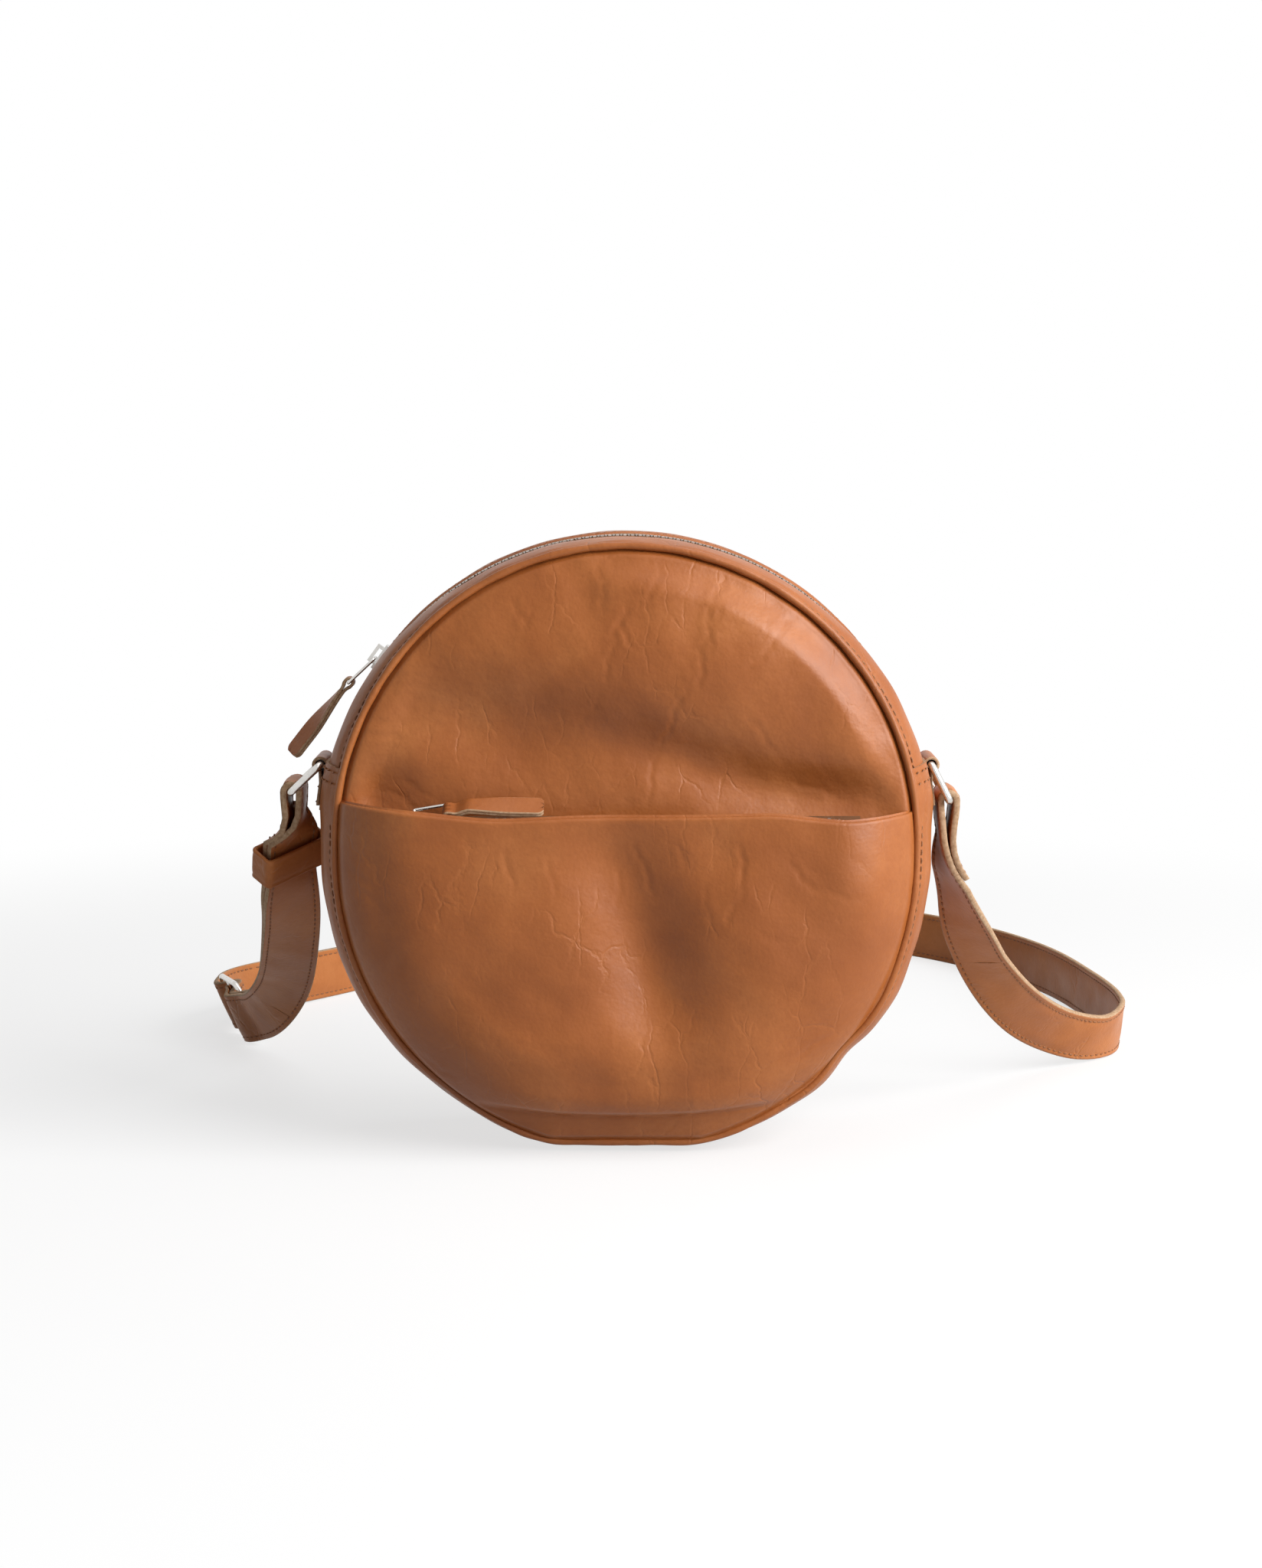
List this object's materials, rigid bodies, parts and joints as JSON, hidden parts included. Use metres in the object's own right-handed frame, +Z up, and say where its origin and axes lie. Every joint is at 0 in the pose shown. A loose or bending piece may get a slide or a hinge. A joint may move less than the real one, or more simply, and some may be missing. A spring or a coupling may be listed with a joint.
{
  "type": "shoulder bag",
  "caption": "Round soft leather shoulder bag with a zipped top gusset, a zipped half-round front pocket, metal strap rings and a long adjustable strap lying on the floor.",
  "frame": {"origin": "middle of the flat strip of the base, on the surface the bag stands on", "axes": "+Z up, -Y out of the front face with the pocket, +X to the right as seen from the front"},
  "size_m": [0.4243, 0.5034, 0.244],
  "materials": {
    "leather": "soft satin, fine grain",
    "lining": "matt woven cotton",
    "zip_tape": "matt woven tape",
    "metal": "nickel plated, satin"
  },
  "bodies": {
    "bag": {"front_panel": "leather", "back_panel": "leather", "front_pocket_panel": "leather", "gusset_lower_right": "leather", "gusset_lower_left": "leather", "gusset_top_rear": "leather", "front_piping": "leather", "rear_piping": "leather", "ring_tab_right": "leather", "ring_tab_left": "leather", "shoulder_strap": "leather", "lining_front": "lining", "lining_back": "lining", "lining_gusset": "lining", "main_zip_tape_rear": "zip_tape", "pocket_zip_tape_upper": "zip_tape", "pocket_zip_tape_lower": "zip_tape", "main_zip_teeth_rear": "metal", "main_zip_stop_rear": "metal", "main_zip_end_stop": "metal", "pocket_zip_teeth_upper": "metal", "pocket_zip_teeth_lower": "metal", "pocket_zip_stops": "metal"},
    "mouth_front": {"gusset_top_front": "leather", "main_zip_tape_front": "zip_tape", "main_zip_teeth_front": "metal", "main_zip_stop_front": "metal"},
    "main_zip_slider": {"main_zip_slider": "metal"},
    "main_zip_link": {"main_zip_pull_link": "metal"},
    "main_zip_tab": {"main_zip_leather_pull": "leather"},
    "pocket_zip_slider": {"pocket_zip_slider": "metal"},
    "pocket_zip_link": {"pocket_zip_pull_link": "metal"},
    "pocket_zip_tab": {"pocket_zip_leather_pull": "leather"},
    "ring_left": {"ring_left": "metal"},
    "ring_right": {"ring_right": "metal"},
    "strap_buckle": {"strap_buckle": "metal"},
    "strap_keeper": {"strap_keeper": "leather"}
  },
  "joints": [
    {"name": "main_zip_slide", "type": "hinge", "parent": "bag", "child": "main_zip_slider", "pos_m": [0, 0, 0.123], "axis": [0, 1, 0], "range_deg": [0, 118], "deforming": ["main_zip_tape_front", "main_zip_tape_rear", "main_zip_teeth_front", "main_zip_teeth_rear"]},
    {"name": "mouth_open", "type": "hinge", "parent": "bag", "child": "mouth_front", "pos_m": [0, -0.031, 0.14505], "axis": [1, 0, 0], "range_deg": [0, 22], "deforming": ["front_panel", "front_piping", "lining_front", "gusset_top_front", "main_zip_tape_front", "main_zip_teeth_front"]},
    {"name": "main_link_swing", "type": "hinge", "parent": "main_zip_slider", "child": "main_zip_link", "pos_m": [-0.10021, 0, 0.19365], "axis": [0, 1, 0], "range_deg": [0, 120]},
    {"name": "main_pull_swing", "type": "hinge", "parent": "main_zip_link", "child": "main_zip_tab", "pos_m": [-0.11045, 0, 0.1841], "axis": [0, 1, 0], "range_deg": [0, 45]},
    {"name": "pocket_zip_slide", "type": "slide", "parent": "bag", "child": "pocket_zip_slider", "axis": [1, 0, 0], "range_m": [0, 0.158], "deforming": ["pocket_zip_tape_upper", "pocket_zip_tape_lower", "pocket_zip_teeth_upper", "pocket_zip_teeth_lower"]},
    {"name": "pocket_link_swing", "type": "hinge", "parent": "pocket_zip_slider", "child": "pocket_zip_link", "pos_m": [-0.08225, -0.04525, 0.1355], "axis": [0, -0.866, -0.5], "range_deg": [0, 120]},
    {"name": "pocket_pull_swing", "type": "hinge", "parent": "pocket_zip_link", "child": "pocket_zip_tab", "pos_m": [-0.06856, -0.04671, 0.13803], "axis": [0, -0.866, -0.5], "range_deg": [0, 45]},
    {"name": "ring_left_swing", "type": "hinge", "parent": "bag", "child": "ring_left", "pos_m": [-0.12135, 0, 0.15213], "axis": [0, 1, 0], "range_deg": [-20, 30], "deforming": ["shoulder_strap"]},
    {"name": "ring_right_swing", "type": "hinge", "parent": "bag", "child": "ring_right", "pos_m": [0.12135, 0, 0.15213], "axis": [0, -1, 0], "range_deg": [-8, 40], "deforming": ["shoulder_strap"]},
    {"name": "strap_buckle_slide", "type": "slide", "parent": "bag", "child": "strap_buckle", "axis": [0.3909, -0.9204, 0.011], "range_m": [-0.012, 0.012], "deforming": ["shoulder_strap"]},
    {"name": "strap_keeper_slide", "type": "slide", "parent": "bag", "child": "strap_keeper", "axis": [0.0965, -0.5062, 0.857], "range_m": [-0.008, 0.003], "deforming": ["shoulder_strap"]}
  ],
  "couplings": [
    {"joint": "mouth_open", "follows": "main_zip_slide", "ratio": 0.1863}
  ]
}
